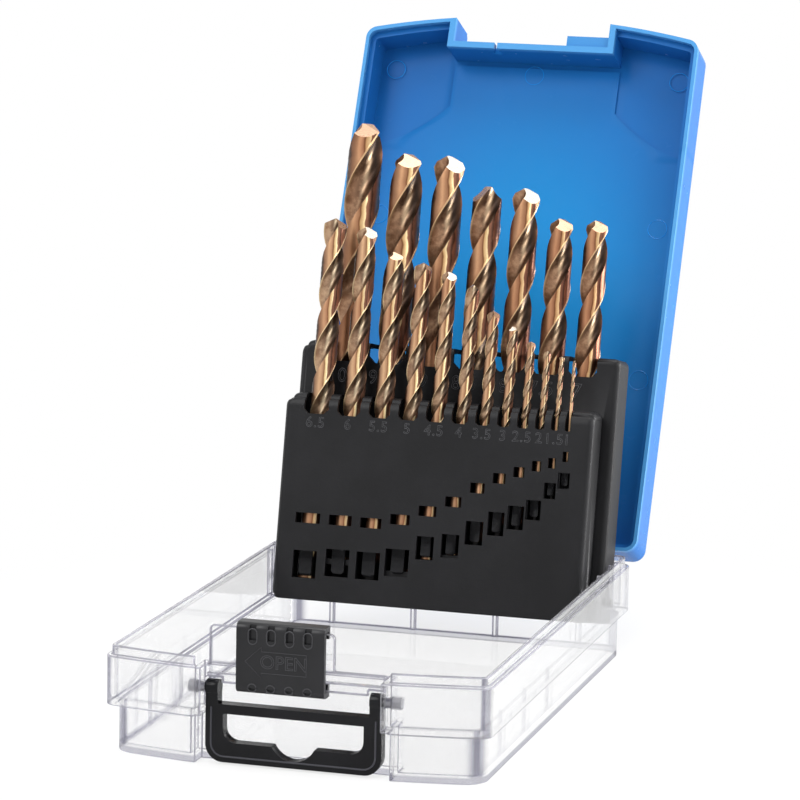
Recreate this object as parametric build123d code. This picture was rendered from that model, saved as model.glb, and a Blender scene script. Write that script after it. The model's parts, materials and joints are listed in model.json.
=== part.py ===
from build123d import *
import os
from math import ceil, cos, pi, radians, sin, tan

# A drill bit case, standing open: clear tray, hinged lid, bit rack, slide latch and bail handle.
# Axes: +X to the right, +Y from the front edge to the hinge, +Z up. All sizes are in millimetres.
# Pieces are drawn from the line of the front corners, and set down with the origin on the ground
# under the middle of the tray.

# Case outline, shared by the tray and the lid
case_width = 100.0
case_length = 152.0
front_bow = 5.5
case_corner_r = 3.5

# Tray
floor_t = 1.8
body_height = 13.7
body_inset = 2.0
body_wall = 1.5
body_corner_r = 6.0
well_corner_r = 2.5
shelf_t = 1.5
band_top = 25.0
band_wall = 2.2
lip_height = 2.4
lip_inset = 1.2
rib_t = 1.2
rib_depth = 0.7
rib_spacing = 24.0

# Lid
seam_gap = 0.15
lid_depth = 14.5
lid_wall = 2.4
lid_roof = 1.8
lip_gap = 0.2
lid_edge_bevel = 1.2
lid_open_angle = 115.0
panel_step = 0.6
panel_margin = 6.0
panel_neck_half = 25.0
panel_neck_start = 19.0
panel_neck_end = 32.0
hang_slit_x = -10.3
hang_slit_width = 0.9
hang_slit_height = 4.0
hang_hole_r = 1.3

# Front recess of the tray and matching notch of the lid
handle_side_gap = 0.4
notch_back = 2.9
notch_wall = 1.8
recess_back = 3.0
recess_wall = 1.6
lug_t = 1.9
lug_bottom = 12.5

# Latch rail: a tall plate on the tray, and a short rail on the lid beside it
plate_front = -0.5
plate_t = 1.4
plate_bottom = 20.5
plate_top = 35.3
plate_left = -22.3
plate_split = 10.3
low_plate_top = 26.0
plate_corner_r = 1.5
web_bottom = 22.8
web_t = 1.8
rail_gap = 0.3
rail_foot_t = 1.4

# Slide latch
latch_left = -14.6
latch_width = 22.8
latch_wall = 1.5
latch_hook_t = 1.3
latch_gap = 0.3
latch_hook_gap = 0.25
latch_lip_t = 1.2
latch_lip_height = 1.9
latch_edge_r = 1.8
grip_count = 4
grip_pitch = 4.75
grip_width = 1.7
grip_height = 4.2
grip_depth = 0.7
grip_low_height = 1.5

# Bail handle
handle_y = 0.6
handle_z = 19.2
handle_half = 22.8
handle_t = 3.4
handle_bottom = 0.6
handle_corner_r = 4.5
ear_width = 3.2
ear_r = 2.1
crossbar_top = 15.4
crossbar_t = 2.4
grip_bar_top = 5.7
side_bar_width = 4.6
opening_corner_r = 3.4
finger_arc_r = 6.15
finger_arc_drop = 3.4
handle_pin_r = 1.25
handle_bulb_r = 1.55
handle_bulb_length = 2.2
handle_bulb_gap = 0.25
pin_gap = 0.08

# Lid hinge
hinge_setback = 2.8
hinge_r = 2.4
hinge_pin_r = 1.1
hinge_x = 30.0
hinge_knuckle_length = 12.0
hinge_ear_length = 4.0
hinge_side_gap = 0.3

# Rack pivot, measured from the rear face of the case
pivot_from_rear = 19.9
pivot_z = 18.0
rack_lean = 12.0
pivot_pin_r = 1.1
pivot_boss_r = 1.7
pivot_pin_depth = 1.5
pivot_end_gap = 0.1
guide_depth = 0.8
guide_rib_reach = 1.4
guide_rib_offset = 7.0
guide_rib_top = 27.0

# Racks, in the frame of the pivot: u runs up along the bits, n runs forward
rack_side_gap = 1.8
rack_bottom = -6.0
rack_wall = 1.2
rack_edge_r = 1.7
rack_corner_r = 2.0
front_rack_step = 3.6
front_face_n = 9.2
front_back_n = -0.9
front_rack_top = 51.8
front_notch_u = 45.9
rear_face_n = -1.9
rear_back_n = -13.3
rear_rack_top = 67.0
rear_notch_u = 61.5
rear_floor_t = 2.2
hoop_t = 1.0
rear_hole_gap = 0.6
bit_gap = 0.3
bit_front_gap_front = 0.7
bit_front_gap_rear = 0.3
front_left_margin = 5.85
front_right_margin = 6.7
front_pitch_share = 1.15
rear_left_margin = 7.5
rear_right_margin = 7.0
rear_pitch_share = 1.0
partition_t = 0.8
partition_top = 43.0
pocket_floor_t = 1.5
upper_window_extra = 0.6
upper_window_height = 2.8
tongue_recess = 0.9
tongue_t = 0.7
tongue_share = 0.54
tongue_drop_gap = 0.9
tongue_root = 0.8
tongue_floor_gap = 0.1
tab_half = 1.2
tab_gap = 0.05
tab_post_half = 2.0
tab_length = 3.9
tab_edge_x = 2.7
tab_high_u = 44.0
tab_low_u = 8.0

# Drill bits: point angle, helix angle and the shape of the fluted section
point_angle = 135.0
helix_angle = 31.0
land_half_angle = 33.0
web_share = 0.36
flute_steps_per_turn = 7

# Front row: diameter, overall length, flute length, pocket floor, upper window sill,
# lower window sill, lower window width and height
front_row = [
    (6.5, 101.0, 63.0, 0.0, 15.4, 0.1, 6.8, 7.6),
    (6.0, 93.0, 57.0, 6.0, 15.4, 1.1, 6.8, 7.6),
    (5.5, 93.0, 57.0, -0.5, 15.3, 1.0, 6.8, 7.6),
    (5.0, 86.0, 52.0, 4.0, 16.9, 2.5, 6.8, 7.6),
    (4.5, 80.0, 47.0, 7.8, 19.8, 7.7, 5.0, 6.5),
    (4.0, 75.0, 43.0, 9.6, 22.9, 8.8, 5.0, 6.5),
    (3.5, 70.0, 39.0, 7.7, 27.2, 12.9, 5.0, 6.5),
    (3.0, 61.0, 33.0, 12.7, 30.3, 15.9, 4.6, 6.5),
    (2.5, 57.0, 30.0, 12.9, 32.4, 18.0, 4.6, 6.5),
    (2.0, 49.0, 24.0, 18.6, 34.4, 21.0, 4.2, 5.4),
    (1.5, 40.0, 18.0, 26.3, 35.5, 27.1, 3.3, 4.4),
    (1.0, 34.0, 12.0, 31.4, 37.5, 30.1, 3.3, 4.4),
]
# Rear row: diameter, overall length, flute length
rear_row = [
    (10.0, 133.0, 87.0),
    (9.5, 125.0, 81.0),
    (9.0, 125.0, 81.0),
    (8.5, 117.0, 75.0),
    (8.0, 117.0, 75.0),
    (7.5, 109.0, 69.0),
    (7.0, 109.0, 69.0),
]

# Values worked out from the sizes above
big = 400.0
half_width = case_width / 2
lip_top = band_top + lip_height
shelf_bottom = body_height - shelf_t
lid_top = band_top + lid_depth
lid_bottom = band_top + seam_gap
lid_ledge = lip_top + lip_gap
notch_half = handle_half + handle_side_gap
lower_recess_half = notch_half + lug_t
plate_back = plate_front + plate_t
latch_front = plate_front - latch_gap - latch_wall
latch_back = plate_back + latch_gap + latch_lip_t
latch_bottom = plate_bottom - latch_hook_gap - latch_hook_t
latch_top = plate_top + latch_hook_gap + latch_hook_t
hinge_y = case_length + hinge_setback
hinge_z = band_top
pivot_y = case_length - pivot_from_rear
wall_inner_x = half_width - band_wall
pivot_reach = wall_inner_x + pivot_pin_depth
rack_half_width = wall_inner_x - rack_side_gap
front_rack_right = rack_half_width - front_rack_step
rear_seat = rack_bottom + rear_floor_t
front_tangent_n = front_face_n - rack_wall - bit_front_gap_front
rear_tangent_n = rear_face_n - rack_wall - bit_front_gap_rear


def span_box(x0, x1, y0, y1, z0, z1):
    """A box given by its limits along each axis."""
    size = (x1 - x0, y1 - y0, z1 - z0)
    return Pos((x0 + x1) / 2, (y0 + y1) / 2, (z0 + z1) / 2) * Box(*size)


def x_rod(radius, x0, x1, y, z):
    """A round bar along X."""
    return Pos((x0 + x1) / 2, y, z) * Rot(0, 90, 0) * Cylinder(radius, abs(x1 - x0))


def x_prism(points, x0, x1):
    """A prism along X over an outline of (y, z) points."""
    return Pos(x0, 0, 0) * extrude(Plane.YZ * Polygon(*points, align=None), x1 - x0)


def case_outline(inset, corner_r):
    """The plan of the case, bowed at the front, drawn in by an inset."""
    half = half_width - inset
    front = inset
    rear = case_length - inset
    edges = [
        ThreePointArc((-half, front), (0, front - front_bow), (half, front)),
        Line((half, front), (half, rear)),
        Line((half, rear), (-half, rear)),
        Line((-half, rear), (-half, front)),
    ]
    plan = make_face(edges)
    return fillet(plan.vertices(), corner_r)


def case_prism(inset, corner_r, z0, z1):
    """The case plan raised from z0 to z1."""
    return Pos(0, 0, z0) * extrude(case_outline(inset, corner_r), z1 - z0)


def lid_pose(shape):
    """Swings a piece drawn in the closed position up to the open position."""
    hinge = Pos(0, hinge_y, hinge_z)
    return hinge * Rot(-lid_open_angle, 0, 0) * hinge.inverse() * shape


def rack_pose(shape):
    """Puts a piece drawn in the rack frame, with Y pointing back, onto the leaning rack."""
    return Pos(0, pivot_y, pivot_z) * Rot(-rack_lean, 0, 0) * shape


def row_places(row, left_x, right_x, pitch_share, tangent_n):
    """The X and the n of the axis of each bit of a row that fills the width between two limits."""
    sizes = [entry[0] for entry in row]
    steps = [pitch_share * (a + b) / 2 for a, b in zip(sizes, sizes[1:])]
    x = left_x + sizes[0] / 2
    web = (right_x - sizes[-1] / 2 - x - sum(steps)) / len(steps)
    places = [(x, tangent_n - sizes[0] / 2)]
    for step, size in zip(steps, sizes[1:]):
        x += step + web
        places.append((x, tangent_n - size / 2))
    return places


front_places = row_places(
    front_row,
    front_left_margin - rack_half_width,
    front_rack_right - front_right_margin,
    front_pitch_share,
    front_tangent_n,
)
rear_places = row_places(
    rear_row,
    rear_left_margin - rack_half_width,
    rack_half_width - rear_right_margin,
    rear_pitch_share,
    rear_tangent_n,
)


def tray_shell():
    """Floor, lower body, shelf, upper band and lip, open at the top."""
    body = case_prism(body_inset, body_corner_r, 0, body_height)
    band = case_prism(0, case_corner_r, shelf_bottom, band_top)
    lip = case_prism(lip_inset, case_corner_r - lip_inset, band_top, lip_top)
    well = case_prism(body_inset + body_wall, well_corner_r, floor_t, body_height)
    mouth = case_prism(band_wall, case_corner_r - band_wall, body_height, lip_top + 1)
    return body + band + lip - well - mouth


def tray_recess(shell):
    """The front recess with its back wall, its side walls and the two handle lugs."""
    outer = case_prism(body_inset, body_corner_r, 0, shelf_bottom)
    outer += case_prism(0, case_corner_r, shelf_bottom, band_top)
    wall_half = lower_recess_half + recess_wall
    wall_back = recess_back + recess_wall
    low = span_box(-wall_half, wall_half, -big, wall_back, 0, body_height)
    high = span_box(-lower_recess_half, lower_recess_half, -big, wall_back, lug_bottom, band_top)
    shell += outer & (low + high)
    cut_half = lower_recess_half
    shell -= span_box(-cut_half, cut_half, -big, recess_back, -1, lug_bottom)
    shell -= span_box(-notch_half, notch_half, -big, recess_back, -1, big)
    lip_end = notch_half + notch_wall + lip_gap
    return shell - span_box(-lip_end, lip_end, -big, recess_back, band_top, big)


def latch_plate():
    """The rail that the slide latch runs on, held to the recess wall by a web."""
    inner = handle_half - ear_width - 2 * latch_gap
    relief = handle_z + ear_r + latch_gap
    tall = span_box(plate_left, plate_split, plate_front, plate_back, web_bottom, plate_top)
    top_edges = tall.edges().filter_by(Axis.Y).group_by(Axis.Z)[-1]
    tall = fillet(top_edges, plate_corner_r)
    low = span_box(-notch_half, notch_half, plate_front, plate_back, relief + latch_gap, low_plate_top)
    foot = span_box(-inner, inner, plate_front, plate_back, plate_bottom, low_plate_top)
    web = span_box(-notch_half, notch_half, plate_back, recess_back, web_bottom, web_bottom + web_t)
    low -= span_box(-big, plate_left, -big, big, band_top, big)
    return tall + low + foot + web


def pivot_guides():
    """Ribs that stand beside each rack pivot on the side walls."""
    ribs = []
    wall_x = wall_inner_x
    for side in (-1, 1):
        for shift in (-guide_rib_offset, guide_rib_offset):
            y = pivot_y + shift
            x0, x1 = sorted((side * (wall_x + 0.2), side * (wall_x - guide_rib_reach)))
            ribs.append(span_box(x0, x1, y - rib_t / 2, y + rib_t / 2, body_height, guide_rib_top))
    return ribs


def pivot_cuts():
    """Blind sockets for the rack pins, with a lead-in groove down from the rim."""
    cuts = []
    wall_x = wall_inner_x
    radius = pivot_pin_r + pin_gap
    for side in (-1, 1):
        end = side * (pivot_reach + pivot_end_gap)
        cuts.append(x_rod(radius, side * (wall_x - 1), end, pivot_y, pivot_z))
        x0, x1 = sorted((side * (wall_x - 1), side * (wall_x + guide_depth)))
        cuts.append(span_box(x0, x1, pivot_y - radius, pivot_y + radius, pivot_z, lip_top + 1))
    return cuts


def wall_ribs():
    """Low stiffening ribs on the inner side walls and rests for the rack on the rear wall."""
    ribs = []
    wall_x = half_width - body_inset - body_wall
    count = int((pivot_y - front_rack_top) / rib_spacing)
    for side in (-1, 1):
        for index in range(count):
            y = rib_spacing * (index + 1)
            x0, x1 = sorted((side * (wall_x + 0.2), side * (wall_x - rib_depth)))
            ribs.append(span_box(x0, x1, y - rib_t / 2, y + rib_t / 2, 0.5 * floor_t, body_height))
    wall_y = case_length - body_inset - body_wall
    rest_y = case_length - band_wall
    for place in (-1.5, -0.5, 0.5, 1.5):
        x = place * rib_spacing
        x0, x1 = x - rib_t / 2, x + rib_t / 2
        ribs.append(span_box(x0, x1, wall_y - rib_depth, wall_y + 0.2, 0.5 * floor_t, body_height))
        ribs.append(span_box(x0, x1, rest_y - rib_depth, rest_y + 0.2, body_height, lip_top))
    return ribs


def hinge_ear(x0, x1):
    """One hinge ear of the tray, webbed to the rear wall, bored for the lid's pin."""
    low = hinge_z - 3 * hinge_r
    web = [(case_length - 0.5, low), (case_length, low), (hinge_y + hinge_r, hinge_z), (case_length - 0.5, hinge_z)]
    ear = x_prism(web, x0, x1) + x_rod(hinge_r, x0, x1, hinge_y, hinge_z)
    return ear - x_rod(hinge_pin_r + pin_gap, x0 - 1, x1 + 1, hinge_y, hinge_z)


def hinge_ears():
    """The four ears: one on each side of both lid knuckles."""
    inner = hinge_knuckle_length / 2 + hinge_side_gap
    outer = inner + hinge_ear_length
    ears = []
    for centre in (-hinge_x, hinge_x):
        ears.append(hinge_ear(centre - outer, centre - inner))
        ears.append(hinge_ear(centre + inner, centre + outer))
    return ears


def make_base_tray():
    """The clear tray."""
    tray = tray_recess(tray_shell())
    tray += latch_plate()
    tray += pivot_guides()
    tray += wall_ribs()
    tray += hinge_ears()
    tray -= pivot_cuts()
    bore_r = handle_pin_r + pin_gap
    for side in (-1, 1):
        end = side * (lower_recess_half + 1)
        tray -= x_rod(bore_r, side * (notch_half - 1), end, handle_y, handle_z)
    return tray


def lid_shell():
    """Roof and walls of the lid, with a rebate that drops over the tray's lip."""
    outer = case_prism(0, case_corner_r, lid_bottom, lid_top)
    top = outer.faces().sort_by(Axis.Z)[-1]
    outer = chamfer(top.edges(), lid_edge_bevel)
    skirt = lip_inset - lip_gap
    rebate = case_prism(skirt, case_corner_r - skirt, lid_bottom - 1, lid_ledge)
    inner_r = max(case_corner_r - lid_wall, 0.5)
    room = case_prism(lid_wall, inner_r, lid_ledge, lid_top - lid_roof)
    return outer - rebate - room


def lid_notch(shell):
    """The notch in the free edge, with its own wall round it."""
    wall_half = notch_half + notch_wall
    outer = case_prism(0, case_corner_r, lid_bottom, lid_top - lid_roof / 2)
    shell += outer & span_box(-wall_half, wall_half, -big, notch_back + notch_wall, 0, big)
    return shell - span_box(-notch_half, notch_half, -big, notch_back, 0, big)


def lid_rail():
    """The rail on the notch wall that the latch hooks over, with a groove behind it."""
    foot_z = low_plate_top + rail_gap
    x0 = plate_split + rail_gap
    rail = span_box(x0, notch_half + 0.2, plate_front, plate_back, foot_z, plate_top)
    foot = span_box(x0, notch_half + 0.2, plate_front, notch_back + 0.2, foot_z, foot_z + rail_foot_t)
    return rail + foot


def lid_panel():
    """A shallow raised field under the roof, necked in towards the free edge."""
    half = half_width - lid_wall - panel_margin / 4
    rear = case_length - lid_wall - panel_margin / 4
    neck = panel_neck_half
    mid_x = (half + neck) / 2
    mid_y = (panel_neck_start + panel_neck_end) / 2
    front = notch_back + notch_wall + panel_margin / 4
    right = Spline((neck, panel_neck_start), (mid_x, mid_y + 2), (half, panel_neck_end))
    edges = [
        Line((-neck, front), (neck, front)),
        Line((neck, front), (neck, panel_neck_start)),
        right,
        Line((half, panel_neck_end), (half, rear)),
        Line((half, rear), (-half, rear)),
        Line((-half, rear), (-half, panel_neck_end)),
        Spline((-half, panel_neck_end), (-mid_x, mid_y + 2), (-neck, panel_neck_start)),
        Line((-neck, panel_neck_start), (-neck, front)),
    ]
    face = make_face(edges)
    return Pos(0, 0, lid_top - lid_roof - panel_step) * extrude(face, panel_step + 0.2)


def lid_knuckle(centre):
    """A hinge knuckle of the lid, webbed to its rear wall, with two stub pins."""
    half = hinge_knuckle_length / 2
    high = hinge_z + 3 * hinge_r
    inner = case_length - 0.5
    web = [(inner, lid_bottom), (hinge_y + hinge_r, hinge_z), (case_length, high), (inner, high)]
    knuckle = x_prism(web, centre - half, centre + half)
    knuckle += x_rod(hinge_r, centre - half, centre + half, hinge_y, hinge_z)
    reach = half + hinge_side_gap + hinge_ear_length
    return knuckle + x_rod(hinge_pin_r, centre - reach, centre + reach, hinge_y, hinge_z)


def make_lid():
    """The blue lid, drawn closed and swung open."""
    lid = lid_notch(lid_shell())
    lid += lid_panel()
    lid += lid_rail()
    for centre in (-hinge_x, hinge_x):
        lid += lid_knuckle(centre)
    slit_half = hang_slit_width / 2
    slit_top = lid_bottom + hang_slit_height
    y0 = notch_back - 0.5
    y1 = notch_back + notch_wall + 0.5
    lid -= span_box(hang_slit_x - slit_half, hang_slit_x + slit_half, y0, y1, 0, slit_top)
    hole = Rot(90, 0, 0) * Cylinder(hang_hole_r, y1 - y0)
    lid -= Pos(hang_slit_x, (y0 + y1) / 2, slit_top) * hole
    return lid_pose(lid)


def rack_shell(x0, x1, face_n, back_n, top, wall):
    """A thin-walled rack body, rounded along its front edges and open at the back."""
    outer = span_box(x0, x1, -face_n, -back_n, rack_bottom, top)
    outer = fillet(outer.edges().filter_by(Axis.Y).group_by(Axis.Z)[-1], rack_corner_r)
    front = outer.faces().sort_by(Axis.Y)[0]
    low_edge = front.edges().sort_by(Axis.Z)[0]
    outer = fillet([e for e in front.edges() if e.center().Z > low_edge.center().Z + 1], rack_edge_r)
    inner = span_box(x0 + wall, x1 - wall, -face_n + wall, -back_n + 1, rack_bottom + wall, top - wall)
    inner_front = inner.faces().sort_by(Axis.Y)[0]
    low_edge = inner_front.edges().sort_by(Axis.Z)[0]
    rims = [e for e in inner_front.edges() if e.center().Z > low_edge.center().Z + 1]
    inner = chamfer(rims, rack_edge_r - wall)
    return outer, inner


def top_hole(x, axis_n, radius, notch_u, face_n, top):
    """The hole for one bit through the rack's top, with its notch through the front face."""
    hole = Pos(x, -axis_n, (notch_u + top) / 2 + 0.5) * Cylinder(radius, top - notch_u + 1)
    notch = span_box(x - radius, x + radius, -face_n - 1, -axis_n, notch_u, top + 1)
    low = notch.edges().filter_by(Axis.Y).group_by(Axis.Z)[0]
    return hole + chamfer(low, 0.35 * radius)


def lower_window(x, sill, width, height):
    """The opening of one lower window."""
    y0 = -front_face_n - 1
    return span_box(x - width / 2, x + width / 2, y0, -front_face_n + rack_wall, sill, sill + height)


def window_tongue(x, sill, width, height):
    """The set-back tongue that hangs into a lower window from its top edge."""
    half = width * tongue_share / 2
    y0 = -front_face_n + tongue_recess
    tongue = span_box(x - half, x + half, y0, y0 + tongue_t, sill + tongue_drop_gap, sill + height + tongue_root)
    low = tongue.edges().filter_by(Axis.Y).group_by(Axis.Z)[0]
    return chamfer(low, 0.35 * half)


def tab_places():
    """Where the two racks are joined by tabs, as (x, u)."""
    xs = (-rack_half_width + tab_edge_x, front_rack_right - tab_edge_x)
    return [(x, u) for x in xs for u in (tab_low_u, tab_high_u)]


def n_bar(half, x, n0, n1, u):
    """A square bar along the rack's forward direction."""
    return span_box(x - half, x + half, -max(n0, n1), -min(n0, n1), u - half, u + half)


def pocket_edges(index):
    """The X limits of a front pocket, between its two partitions."""
    edges = []
    for left, right in ((index - 1, index), (index, index + 1)):
        if left < 0:
            edges.append(-rack_half_width + rack_wall / 2)
        elif right == len(front_row):
            edges.append(front_rack_right - rack_wall / 2)
        else:
            left_edge = front_places[left][0] + front_row[left][0] / 2
            right_edge = front_places[right][0] - front_row[right][0] / 2
            edges.append((left_edge + right_edge) / 2)
    return edges


def make_front_rack():
    """The front rack: twelve pockets, each with its floor, guide, notch and two windows."""
    x0, x1 = -rack_half_width, front_rack_right
    outer, inner = rack_shell(x0, x1, front_face_n, front_back_n, front_rack_top, rack_wall)
    rack = outer - inner
    inside_y = -front_face_n + rack_wall - 0.1
    floor_y = -front_face_n + tongue_recess + tongue_t + tongue_floor_gap
    back_y = -front_back_n
    inserts = []
    cuts = []
    for index, entry in enumerate(front_row):
        d, _, _, seat, upper_sill, lower_sill, win_width, win_height = entry
        x, axis_n = front_places[index]
        left, right = pocket_edges(index)
        radius = d / 2 + bit_gap
        inserts.append(span_box(left, right, floor_y, back_y, seat - pocket_floor_t, seat))
        if index + 1 < len(front_row):
            edge = right
            low = rack_bottom + rack_wall / 2
            half = partition_t / 2
            inserts.append(span_box(edge - half, edge + half, inside_y, back_y, low, partition_top))
        inserts.append(window_tongue(x, lower_sill, win_width, win_height))
        cuts.append(top_hole(x, axis_n, radius, front_notch_u, front_face_n, front_rack_top))
        win_half = (d + upper_window_extra) / 2
        window = span_box(x - win_half, x + win_half, -front_face_n - 1, inside_y + 0.1,
                          upper_sill, upper_sill + upper_window_height)
        cuts.append(window)
    for entry, (x, _) in zip(front_row, front_places):
        rack -= lower_window(x, entry[5], entry[6], entry[7])
    rack += inserts
    for x, u in tab_places():
        rack += n_bar(tab_post_half, x, front_face_n - rack_wall, front_back_n, u)
        cuts.append(n_bar(tab_half + tab_gap, x, front_back_n - 1, front_back_n + tab_length + 0.3, u))
    rack -= cuts
    rack += x_rod(pivot_pin_r, -pivot_reach, x0 + rack_wall, 0, 0)
    rack += x_rod(pivot_pin_r, x1 - rack_wall, pivot_reach, 0, 0)
    rack += x_rod(pivot_boss_r, x1 - rack_wall / 2, rack_half_width, 0, 0)
    return rack_pose(rack)


def make_rear_rack():
    """The rear rack: seven bits stand on its floor and lean in hoops along its top."""
    x0, x1 = -rack_half_width, rack_half_width
    outer, inner = rack_shell(x0, x1, rear_face_n, rear_back_n, rear_rack_top, rack_wall)
    rack = outer - inner
    rack += span_box(x0 + 0.5, x1 - 0.5, -rear_face_n + 0.5, -rear_back_n, rack_bottom + 0.2, rear_seat)
    mean_axis_y = -sum(n for _, n in rear_places) / len(rear_places)
    rack -= span_box(x0 + rack_wall, x1 - rack_wall, mean_axis_y, big, rear_rack_top - rack_wall, big)
    holes = []
    for (d, _, _), (x, axis_n) in zip(rear_row, rear_places):
        radius = d / 2 + rear_hole_gap
        hoop = Pos(x, -axis_n, rear_rack_top - rack_wall / 2) * Cylinder(radius + hoop_t, rack_wall)
        rack += hoop - span_box(-big, big, -big, -rear_face_n + rack_edge_r, -big, big)
        holes.append(top_hole(x, axis_n, radius, rear_notch_u, rear_face_n, rear_rack_top))
    rack -= holes
    for x, u in tab_places():
        rack += n_bar(tab_post_half, x, rear_face_n - rack_wall / 2, front_back_n, u)
        rack += n_bar(tab_half, x, front_back_n - 0.2, front_back_n + tab_length, u)
    return rack_pose(rack)


def make_handle():
    """The bail handle, hanging in the recess."""
    half_t = handle_t / 2
    top = handle_z + ear_r
    frame = span_box(-handle_half, handle_half, -half_t, half_t, handle_bottom, top)
    low = frame.edges().filter_by(Axis.Y).group_by(Axis.Z)[0]
    frame = fillet(low, handle_corner_r)
    ear_inner = handle_half - ear_width
    frame -= span_box(-ear_inner, ear_inner, -big, big, crossbar_top, big)
    frame -= span_box(-big, big, -big, big, handle_z, big)
    for side in (-1, 1):
        frame += x_rod(ear_r, side * ear_inner, side * handle_half, 0, handle_z)
    open_half = handle_half - side_bar_width
    hole = span_box(-open_half, open_half, -half_t - 1, half_t + 1, grip_bar_top, crossbar_top - crossbar_t)
    corners = hole.edges().filter_by(Axis.Y).group_by(Axis.Z)[0]
    frame -= fillet(corners, opening_corner_r)
    arc_z = grip_bar_top - finger_arc_drop + finger_arc_r
    finger = Pos(0, 0, arc_z) * Rot(90, 0, 0) * Cylinder(finger_arc_r, handle_t + 2)
    frame -= finger & span_box(-big, big, -big, big, 0, grip_bar_top + 0.5)
    bulb_x = lower_recess_half + handle_bulb_gap
    for side in (-1, 1):
        frame += x_rod(handle_pin_r, side * (handle_half - 0.5), side * (bulb_x + 0.5), 0, handle_z)
        frame += x_rod(handle_bulb_r, side * bulb_x, side * (bulb_x + handle_bulb_length), 0, handle_z)
    return Pos(0, handle_y, 0) * frame


def make_latch_slider():
    """The C-shaped slide latch, parked at the open end of its rail."""
    x0, x1 = latch_left, latch_left + latch_width
    block = span_box(x0, x1, latch_front, latch_back, latch_bottom, latch_top)
    front = block.faces().sort_by(Axis.Y)[0]
    rims = front.edges().filter_by(Axis.X)
    block = fillet(rims, latch_edge_r)
    inner_y = plate_front - latch_gap
    low_z = plate_bottom - latch_hook_gap
    high_z = plate_top + latch_hook_gap
    block -= span_box(x0 - 1, x1 + 1, inner_y, latch_back - latch_lip_t, low_z, high_z)
    lip_low = low_z + latch_lip_height
    lip_high = high_z - latch_lip_height
    block -= span_box(x0 - 1, x1 + 1, inner_y, latch_back + 1, lip_low, lip_high)
    first = (x0 + x1) / 2 - grip_pitch * (grip_count - 1) / 2
    y0 = latch_front - 1
    y1 = latch_front + grip_depth
    for index in range(grip_count):
        x = first + grip_pitch * index
        g0, g1 = x - grip_width / 2, x + grip_width / 2
        block -= span_box(g0, g1, y0, y1, latch_top - grip_height, latch_top + 1)
        block -= span_box(g0, g1, y0, y1, latch_bottom - 1, latch_bottom + grip_low_height)
    return block


def fluted_section(radius):
    """The fluted section's outline, half of it turned to make the other half."""
    half = [(radius, -land_half_angle), (radius, land_half_angle), (radius * web_share, 90.0)]
    return half + [(r, angle + 180.0) for r, angle in half]


def fluted_rings(diameter, length, flute_length):
    """Rings of points that wind the section up the right-hand helix to the drill point."""
    radius = diameter / 2
    pitch = pi * diameter / tan(radians(helix_angle))
    steps = ceil(flute_length / pitch * flute_steps_per_turn)
    slope = 1 / tan(radians(point_angle / 2))
    rings = []
    for step in range(steps + 1):
        rise = flute_length * step / steps
        turn = 360.0 * (rise - flute_length) / pitch
        ring = []
        for r, angle in fluted_section(radius):
            a = radians(angle + turn)
            drop = r * slope if step == steps else 0.0
            z = length - flute_length + rise - drop
            ring.append(Vector(r * cos(a), r * sin(a), z))
        rings.append(ring)
    return rings


def make_bit(diameter, length, flute_length):
    """A jobber drill bit standing on its shank end: plain shank, helical flutes, point."""
    rings = fluted_rings(diameter, length, flute_length)
    count = len(rings[0])
    base = Vector(0, 0, length - flute_length)
    point = Vector(0, 0, length)
    faces = []
    for index in range(count):
        after = (index + 1) % count
        faces.append((base, rings[0][after], rings[0][index]))
        faces.append((rings[-1][index], rings[-1][after], point))
        for low, high in zip(rings, rings[1:]):
            faces.append((low[index], low[after], high[after]))
            faces.append((low[index], high[after], high[index]))
    skin = [Face(Wire.make_polygon(corners, close=True)) for corners in faces]
    flutes = Solid(Shell(skin))
    shank_length = length - flute_length
    shank = Pos(0, 0, shank_length / 2) * Cylinder(diameter / 2, shank_length)
    return shank + flutes


def bit_name(diameter):
    """The node name of a bit, such as bit_6_5."""
    return "bit_" + f"{diameter:.1f}".replace(".", "_")


def make_pieces():
    """Every piece of the case by node name, in the open pose."""
    pieces = {
        "base_tray": make_base_tray(),
        "lid": make_lid(),
        "front_rack": make_front_rack(),
        "rear_rack": make_rear_rack(),
        "handle": make_handle(),
        "latch_slider": make_latch_slider(),
    }
    for entry, (x, axis_n) in zip(front_row, front_places):
        bit = make_bit(*entry[:3])
        pieces[bit_name(entry[0])] = rack_pose(Pos(x, -axis_n, entry[3]) * bit)
    for entry, (x, axis_n) in zip(rear_row, rear_places):
        bit = make_bit(*entry)
        pieces[bit_name(entry[0])] = rack_pose(Pos(x, -axis_n, rear_seat) * bit)
    return pieces


os.makedirs("parts", exist_ok=True)
for name, piece in make_pieces().items():
    export_step(Pos(0, -case_length / 2, 0) * piece, f"parts/{name}.step")
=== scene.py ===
"""Looks of the drill bit case: clear tray, blue lid, black racks, slide latch, bail handle and bits."""
import json
from math import cos, hypot, pi, radians, sin, tan

import bpy
from mathutils import Matrix, Vector


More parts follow.
